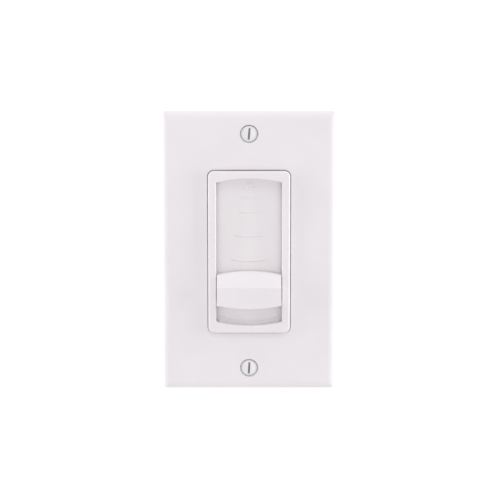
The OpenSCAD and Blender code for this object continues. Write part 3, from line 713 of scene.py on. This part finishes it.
def make_scale_panel():
    """The convex panel with its raised graduations and its sun."""
    steps = 48
    xs = [PANEL_HALF_W * (2 * i / steps - 1) for i in range(steps + 1)]
    front = [(x, panel_y(x)) for x in xs]
    back = [(x, panel_y(x, -PANEL_T)) for x in reversed(xs)]
    panel = round_edges(extrude_z("scale", front + back, -PANEL_H / 2, PANEL_H / 2), 0.15 * MM)
    parts = []
    for s in (1, -1):
        zs = sorted((s * (PANEL_H / 2 - MM), s * PANEL_HI.z))
        parts.append(block("tab", (-PANEL_TAB_HALF_W, PANEL_CREST_Y + PANEL_T / 2, zs[0]),
                           (PANEL_TAB_HALF_W, YOKE_FRONT, zs[1]), 0.1 * MM))
    for z, w in MARKS:
        count = max(16, int(w * 3))
        points = [w * MM * (i / count - 0.5) for i in range(count + 1)]
        path = [(x, z * MM + MARK_ARC_R - math.sqrt(MARK_ARC_R ** 2 - x * x)) for x in points]
        parts.append(rib("graduation", path))
    turn = [2 * math.pi * i / 40 for i in range(40)]
    parts.append(rib("sun_disc", [(SUN_R * math.sin(a), SUN_Z + SUN_R * math.cos(a))
                                  for a in turn], closed=True))
    for i in range(SUN_RAYS):
        a = 2 * math.pi * i / SUN_RAYS
        reach = [SUN_RAY_IN + (SUN_RAY_OUT - SUN_RAY_IN) * k / 6 for k in range(7)]
        parts.append(rib("sun_ray", [(r * math.sin(a), SUN_Z + r * math.cos(a)) for r in reach],
                         width=MARK_W * 0.9))
    join(panel, *parts)
    return finish(smooth(panel), PANEL_WHITE, FIXED, "panel_white", "scale_panel")


def make_knob():
    """A hollow wedge with bowed top and bottom edges, on wings and legs beside the panel."""
    front, ridge = KNOB_LO.y, KNOB_Z - KNOB_H / 2 + KNOB_FACE_H
    big = arc_r(KNOB_W / 2, KNOB_BOW)
    top_z = KNOB_Z + KNOB_H / 2
    fall = (KNOB_LIP_Y - front) / (top_z - ridge)
    bm = bmesh.new()
    steps, rows = 40, []
    for i in range(steps + 1):
        x = KNOB_W / 2 * (2 * i / steps - 1)
        bow = big - math.sqrt(big * big - x * x)
        high, low = top_z - bow, KNOB_Z - KNOB_H / 2 + bow
        back = min(KNOB_BACK_Y, panel_y(x, KNOB_CLEARANCE))
        lip = front + (high - ridge) * fall
        rows.append([bm.verts.new((x, y, z)) for y, z in
                     ((back, high), (lip, high), (front, ridge), (front, low), (back, low))])
    for left, right in zip(rows, rows[1:]):
        for k in range(4):
            bm.faces.new((left[k], left[k + 1], right[k + 1], right[k]))
    bm.faces.new(rows[0])
    bm.faces.new(rows[-1])
    knob = new_object("knob", bm)
    modifier(knob, "SOLIDIFY", thickness=KNOB_T, offset=-1, use_even_offset=True)
    apply_modifiers(knob)
    round_edges(knob, KNOB_EDGE, segments=5, angle=25)
    parts = []
    for s in (1, -1):
        xs = sorted((s * (KNOB_W / 2 - KNOB_T * 0.8), s * KNOB_HI.x))
        parts.append(block("wing", (xs[0], WING_Y[0], KNOB_Z - WING_H / 2),
                           (xs[1], WING_Y[1], KNOB_Z + WING_H / 2), 0.25 * MM, 3))
        xs = sorted((s * LEG_X, s * KNOB_HI.x))
        parts.append(block("leg", (xs[0], WING_Y[0] + 0.1 * MM, KNOB_Z - LEG_H / 2),
                           (xs[1], KNOB_HI.y, KNOB_Z + LEG_H / 2), 0.15 * MM))
    join(knob, *parts)
    return finish(smooth(knob), KNOB_WHITE, SLIDER, "knob_white", "slider_knob")


def make_plate_screws():
    """Two painted oval heads, seated in the plate's counterbores."""
    screws = []
    for s, lean in SCREW_TURNS.items():
        one = screw(head=SCREW_HEAD_R, dome_h=0.8 * MM, rim_h=0.8 * MM, shank=SCREW_SHANK_R,
                    tip=SCREWS_HI.y - SCREW_BASE_Y, taper_h=SCREW_HEAD_R - SCREW_SHANK_R)
        screws.append(place(one, 0, SCREW_BASE_Y, s * SCREW_Z, lean))
    pair = join(*screws)
    pair.name = "plate_screws"
    finish(smooth(pair, 45), SCREW_PAINT, FIXED, "painted_screw", "wallplate_screws")
    # the faces inside each slot get the dark steel colour: bare steel where the paint is gone, and
    # painted shade standing in for the slot's shadow
    pair.data.materials.append(SLOT_STEEL_AND_SHADE)
    for face in pair.data.polygons:
        s = 1 if face.center.z > 0 else -1
        across = Matrix.Rotation(-math.radians(SCREW_TURNS[s]), 3, "Y")
        spot = across @ (face.center - Vector((0, SCREW_BASE_Y, s * SCREW_Z)))
        if abs(spot.x) < SLOT_HALF_W and abs(spot.z) < SLOT_REACH and spot.y < SLOT_FLOOR:
            face.material_index = 1
    return pair


# ---------------------------------------------------------------- the frame and the housing

def make_yoke():
    """The zinc-plated strap, with a score line across each ear where it can be snapped off."""
    yoke = from_cad("yoke", "yoke_strap", 0.18 * MM)
    lo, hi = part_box("yoke")
    inset, half_w, half_gap, depth = 3.2 * MM, 14 * MM, 0.25 * MM, 0.3 * MM
    for s in (1, -1):
        z = s * (hi.z - inset)
        boolean(yoke, block("score", (-half_w, lo.y - MM, z - half_gap),
                            (half_w, lo.y + depth, z + half_gap)))
    return finish(smooth(yoke, 32), ZINC, FIXED, "zinc_plate", "yoke")


def make_housing():
    """The back box: soft edges, a sunk blank label field, gauge grooves and ejector marks."""
    housing = from_cad("back_housing", "housing_box", 0.35 * MM, 3, 40)
    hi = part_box("back_housing")[1]
    half_w, half_h, drop, sunk = 14 * MM, 9 * MM, 2 * MM, 0.35 * MM
    boolean(housing, block("label_field", (-half_w, hi.y - sunk, -half_h - drop),
                           (half_w, hi.y + MM, half_h - drop), 0.3 * MM))
    gauge_half_w, gauge_half_h = 8 * MM, 0.6 * MM
    for z in (15 * MM, 19 * MM):
        boolean(housing, block("strip_gauge", (-gauge_half_w, hi.y - sunk, z - gauge_half_h),
                               (gauge_half_w, hi.y + MM, z + gauge_half_h)))
    mark_r, mark_top_r = 2 * MM, 2.1 * MM
    for x in (-16 * MM, 16 * MM):
        for z in (-24 * MM, 25 * MM):
            mark = lathe("mark", [(0, -sunk / 2), (mark_r, -sunk / 2), (mark_top_r, MM), (0, MM)],
                         steps=40)
            boolean(housing, place(mark, x, hi.y, z))
    return finish(smooth(housing, 32), HOUSING_BLACK, FIXED, "housing_black", "back_housing")


def make_frame_screws():
    """The green ground screw and the four screws that hold the housing."""
    lo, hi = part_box("ground_screw")
    x, _, z = middle(lo, hi)
    dome = 0.8 * MM
    ground = screw(head=3.15 * MM, dome_h=dome, rim_h=1.0 * MM, shank=1.65 * MM,
                   tip=hi.y - lo.y - dome)
    place(ground, x, lo.y + dome, z, 35)
    ground.name = "ground_terminal_screw"
    finish(smooth(ground, 45), GREEN_METAL, FIXED, "green_screw", "ground_screw")
    lo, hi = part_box("housing_screws")
    head = 2.2 * MM
    screws = []
    for i, (x, z) in enumerate((x, z) for x in (lo.x + head, hi.x - head)
                               for z in (lo.z + head, hi.z - head)):
        one = screw(head=head - 0.02 * MM, dome_h=dome, rim_h=0.8 * MM, shank=1.3 * MM,
                    tip=hi.y - lo.y - dome)
        screws.append(place(one, x, lo.y + dome, z, 50 * i))
    four = join(*screws)
    four.name = "case_screws"
    finish(smooth(four, 45), BRIGHT_METAL, FIXED, "bright_screw", "housing_screws")


def make_terminals():
    """Two brass side terminals with large binding-head screws."""
    lo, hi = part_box("terminal_screws")
    head, dome = 3.3 * MM, 0.5 * MM
    screws = []
    for z in (lo.z + head, hi.z - head):
        one = screw(head=head - 0.03 * MM, dome_h=dome, rim_h=1.4 * MM, shank=1.7 * MM,
                    tip=hi.x - lo.x - dome, slot_w=0.9 * MM, slot_depth=0.9 * MM, reach=0.9)
        screws.append(place(one, lo.x + dome, middle(lo, hi)[1], z, 20, along_x=True))
    pair = join(*screws)
    pair.name = "binding_screws"
    finish(smooth(pair, 45), BRASS, FIXED, "brass", "terminal_screws")
    plates = from_cad("terminal_plates", "binding_plates", 0.15 * MM)
    finish(smooth(plates, 32), BRASS, FIXED, "brass", "terminal_plates")


# ---------------------------------------------------------------- inside the housing

def make_plain_parts():
    """The pieces whose CAD shape only needs soft edges and a real surface."""
    for node, name, edge, material, body, slot in (
            ("insulator_sheet", "insulator_paper", 0.05, PAPER, FIXED, "fish_paper"),
            ("circuit_board", "component_board", 0.12, BOARD, FIXED, "board"),
            ("pot_frame", "pot_case", 0.12, POT_STEEL, FIXED, "pot_steel"),
            ("pot_track", "pot_base", 0.1, TRACK, FIXED, "phenolic_track"),
            ("pot_lever", "pot_stem", 0.15, POT_STEEL, SLIDER, "pot_steel"),
            ("pot_wiper", "pot_slider", 0.2, NYLON, SLIDER, "natural_nylon"),
            ("slider_carriage", "carriage_bar", 0.15, NYLON, SLIDER, "natural_nylon"),
            ("off_switch_body", "switch_case", 0.25, HOUSING_BLACK, FIXED, "housing_black"),
            ("off_switch_plunger", "switch_plunger", 0.35, PLUNGER_RED, "off_plunger",
             "plunger_red"),
            ("off_switch_terminals", "switch_pins", 0.1, BRASS, FIXED, "brass"),
            ("triac_lead_frame", "triac_tab", 0.1, TINNED, FIXED, "tinned_copper"),
            ("triac_pad", "triac_insulator", 0.05, PAD_GREY, FIXED, "thermal_pad")):
        piece = from_cad(node, name, edge * MM, 3)
        finish(smooth(piece, 32), material, body, slot, node)


def make_triac():
    """The power device's moulded body, with a dimple, and the screw through its tab."""
    body = from_cad("triac_body", "triac_case", 0.25 * MM)
    lo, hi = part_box("triac_body")
    r, sunk = 1.6 * MM, 0.2 * MM
    dimple = lathe("dimple", [(0, -MM), (r, -MM), (r, sunk), (0, sunk)], steps=48)
    boolean(body, place(dimple, lo.x, middle(lo, hi)[1], 0, along_x=True))
    finish(smooth(body, 32), EPOXY, FIXED, "epoxy_black", "triac_body")
    lo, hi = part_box("triac_screw")
    dome = 0.7 * MM
    bolt = screw(head=2.67 * MM, dome_h=dome, rim_h=1.3 * MM, shank=1.5 * MM,
                 tip=hi.x - lo.x - dome)
    place(bolt, lo.x + dome, middle(lo, hi)[1], 0, 65, along_x=True)
    bolt.name = "heat_wing_screw"
    finish(smooth(bolt, 45), BRIGHT_METAL, FIXED, "bright_screw", "triac_screw")


def make_choke():
    """A lacquered ring with one helical winding."""
    lo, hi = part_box("choke_core")
    x, middle_y, z = middle(lo, hi)
    in_r, out_r, soft = 5.5 * MM, (hi.x - lo.x) / 2, 0.8 * MM
    corners = ((out_r, lo.y, 1, -1), (out_r, hi.y, 1, 1), (in_r, hi.y, -1, 1), (in_r, lo.y, -1, -1))
    profile = []
    for i, (r, y, sr, sy) in enumerate(corners):
        for k in range(5):
            a = math.radians(-90 + 90 * i + 22.5 * k)
            profile.append((r - sr * soft + soft * math.cos(a), y - sy * soft + soft * math.sin(a)))
    core = lathe("toroid_core", profile, x, z, 96, closed=True)
    finish(smooth(core), IRON_POWDER, FIXED, "ferrite", "choke_core")
    wire, turns, per_turn, gap = 0.5 * MM, 18, 24, 0.12 * MM
    middle_r, squareness = (in_r + out_r) / 2, 6
    start, sweep = 20, 320
    half_r, half_y = (out_r - in_r) / 2 + wire + gap, (hi.y - lo.y) / 2 + wire + gap
    path = []
    for k in range(turns * per_turn + 1):
        a = 2 * math.pi * k / per_turn
        round_a = math.radians(start + sweep * k / (turns * per_turn))
        c, s = math.cos(a + math.pi / 2), math.sin(a + math.pi / 2)
        squash = (abs(c) ** squareness + abs(s) ** squareness) ** (-1 / squareness)
        r, y = middle_r + half_r * c * squash, middle_y - half_y * s * squash
        path.append((x + r * math.cos(round_a), y, z + r * math.sin(round_a)))
    winding = tube("toroid_winding", path, wire)
    finish(smooth(winding, 60), ENAMEL, FIXED, "enamelled_copper", "choke_winding")


def make_capacitors():
    """A boxed film capacitor and a small dipped one, each on two wires."""
    board_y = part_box("circuit_board")[1].y
    rise, leg_r, leg_h = 0.8 * MM, 0.32 * MM, 2 * MM
    for node, name, edge, pitch, material, slot in (
            ("film_capacitor", "film_case", 0.8, 10, FILM_YELLOW, "capacitor_yellow"),
            ("timing_capacitor", "dipped_case", 1.5, 5, DIP_BLUE, "capacitor_blue")):
        lo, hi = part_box(node)
        case = block(name, (lo.x, board_y + rise, lo.z), hi, edge * MM, 6)
        middle_x, _, z = middle(lo, hi)
        legs = []
        for s in (-1, 1):
            x = middle_x + s * pitch / 2 * MM
            legs.append(tube("leg", [(x, board_y, z), (x, board_y + leg_h, z)], leg_r))
        join(case, *legs)
        finish(smooth(case), material, FIXED, slot, node)


def make_resistors():
    """Three banded resistors with swollen ends, and their bent leads."""
    y, board_y = middle(*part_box("resistor_bodies"))[1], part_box("circuit_board")[1].y
    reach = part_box("resistor_leads")[1].x - RESISTOR_X - 0.3 * MM
    waist, cap_starts, cap_length = 0.86, 0.4, 0.15
    bodies, leads = [], []
    for z in RESISTOR_ROWS:
        profile = []
        for k in range(33):
            t = k / 16 - 1
            swell = waist + (1 - waist) * min(1.0, max(0.0, (abs(t) - cap_starts) / cap_length))
            profile.append((RESISTOR_R * swell * round_end(t, 0.2), t * RESISTOR_HALF))
        body = lathe("body", profile, steps=32)
        bodies.append(place(body, RESISTOR_X, y, z, along_x=True))
        for s in (-1, 1):
            leads.append(bent_lead("lead", (RESISTOR_X, y, z), s * (RESISTOR_HALF - LEAD_ROOT),
                                   s * reach, 0.7 * MM, board_y, along_x=True))
    bodies, leads = join(*bodies), join(*leads)
    bodies.name, leads.name = "banded_resistors", "resistor_wires"
    finish(smooth(bodies), RESISTOR_TAN, FIXED, "resistor_tan", "resistor_bodies")
    finish(smooth(leads), TINNED, FIXED, "tinned_copper", "resistor_leads")


def make_diac():
    """A small round-ended body on two bent wires."""
    lo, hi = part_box("diac")
    x, _, z = middle(lo, hi)
    y, r, half = lo.y + 1.3 * MM, 0.95 * MM, 2 * MM
    turned = [(r * round_end(t, 0.25), t * half) for t in (k / 12 - 1 for k in range(25))]
    body = lathe("diac_body", turned, steps=32)
    body.data.transform(Matrix.Translation((x, y, z)) @ Matrix.Rotation(math.radians(90), 4, "X"))
    reach = hi.z - z - 0.3 * MM
    join(body, *[bent_lead("wire", (x, y, z), s * (half - LEAD_ROOT), s * reach, 0.6 * MM, lo.y)
                 for s in (-1, 1)])
    finish(smooth(body), DIP_BLUE, FIXED, "capacitor_blue", "diac")


def make_trimmer():
    """The trimmer's square body with a round pocket, and its slotted rotor."""
    lo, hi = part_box("trim_pot_body")
    x, _, z = middle(lo, hi)
    pocket, pocket_r, chamfer = MM, 2.5 * MM, 0.15 * MM
    body = block("trimmer_case", lo, hi, 0.3 * MM, 3)
    room = lathe("room", [(0, -pocket), (pocket_r, -pocket), (pocket_r, -chamfer),
                          (2.65 * MM, MM), (0, MM)], steps=64)
    boolean(body, place(room, x, hi.y, z))
    finish(smooth(body), DIP_BLUE, FIXED, "capacitor_blue", "trim_pot_body")
    lo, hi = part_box("trim_pot_rotor")
    r, soft = (hi.x - lo.x) / 2, 0.15 * MM
    rotor = lathe("trimmer_rotor", [(0, lo.y), (r, lo.y), (r, hi.y - soft),
                                    (r - 0.3 * soft, hi.y - 0.3 * soft), (r - soft, hi.y),
                                    (0, hi.y)], x, z, 64)
    for name, half_w, depth, start_z in (("slot", 0.35 * MM, 0.6 * MM, lo.z - MM),
                                         ("pointer", 0.2 * MM, 0.2 * MM, hi.z - 0.9 * MM)):
        boolean(rotor, block(name, (x - half_w, hi.y - depth, start_z),
                             (x + half_w, hi.y + MM, hi.z + MM)))
    round_edges(rotor, 0.05 * MM, 2, 40)
    finish(smooth(rotor), NYLON, "trimmer", "natural_nylon", "trim_pot_rotor")


for make in (make_wallplate, make_bezel, make_scale_panel, make_knob, make_plate_screws,
             make_yoke, make_housing, make_frame_screws, make_terminals, make_plain_parts,
             make_triac, make_choke, make_capacitors, make_resistors, make_diac, make_trimmer):
    make()


# ---------------------------------------------------------------- studio

CAMERA_TILT, CAMERA_DISTANCE = 11.4, 1.0
SENSOR_W, LENS, LENS_SHIFT = 36, 176.5, (0.0018, -0.0012)
TENT_GLOW = 0.73
AIM = Vector((0, 0, 0))


def make_camera():
    """A long lens a metre away, a little above the plate's normal."""
    tilt = math.radians(CAMERA_TILT)
    data = bpy.data.cameras.new("camera")
    data.sensor_width, data.lens = SENSOR_W, LENS
    data.shift_x, data.shift_y = LENS_SHIFT
    cam = bpy.data.objects.new("camera", data)
    bpy.context.scene.collection.objects.link(cam)
    back = Vector((0, -math.cos(tilt), math.sin(tilt)))
    cam.location = back * CAMERA_DISTANCE
    cam.rotation_mode = "QUATERNION"
    cam.rotation_quaternion = (-back).to_track_quat("-Z", "Y")
    bpy.context.scene.camera = cam


def softbox(name, place, size, power):
    """A rectangular lamp, its power in watts, turned towards the plate."""
    data = bpy.data.lights.new(name, "AREA")
    data.shape, data.size, data.size_y, data.energy = "RECTANGLE", size[0], size[1], power
    light = bpy.data.objects.new(name, data)
    bpy.context.scene.collection.objects.link(light)
    light.location = place
    light.rotation_mode = "QUATERNION"
    light.rotation_quaternion = (AIM - Vector(place)).to_track_quat("-Z", "Y")


def sheet(name, size, place, upright, glow):
    """A large flat white sheet of the studio, lying or standing, that may glow."""
    bm = bmesh.new()
    bmesh.ops.create_grid(bm, x_segments=1, y_segments=1, size=size)
    turn = Matrix.Rotation(math.radians(90 if upright else 0), 4, "X")
    bm.transform(Matrix.Translation(place) @ turn)
    obj = new_object(name, bm)
    paper = plastic(name + "_white", (0.95, 0.95, 0.95), rough=(0.9, 1.0))
    sockets = paper.node_tree.nodes["Principled BSDF"].inputs
    sockets["Emission Color"].default_value = (1, 1, 1, 1)
    sockets["Emission Strength"].default_value = glow
    obj.data.materials.append(paper)


def make_studio():
    """A white floor and a lit white backdrop in a white tent, with lamps to both sides and above."""
    world = bpy.data.worlds.new("tent")
    world.use_nodes = True
    sockets = world.node_tree.nodes["Background"].inputs
    sockets["Color"].default_value = (1, 1, 1, 1)
    sockets["Strength"].default_value = TENT_GLOW
    bpy.context.scene.world = world
    bpy.context.scene.view_settings.view_transform = "Standard"
    sheet("floor", 12, (0, 0, -1.0), False, 0.0)
    sheet("backdrop", 2.5, (0, 1.6, 0.5), True, 0.2)
    softbox("right_light", (1.15, -0.2, 0.15), (0.25, 1.0), 6.8)
    softbox("left_light", (-1.15, -0.2, 0.15), (0.25, 1.0), 5.0)
    softbox("top_light", (0, -0.65, 1.1), (1.2, 0.4), 2.1)


make_camera()
make_studio()
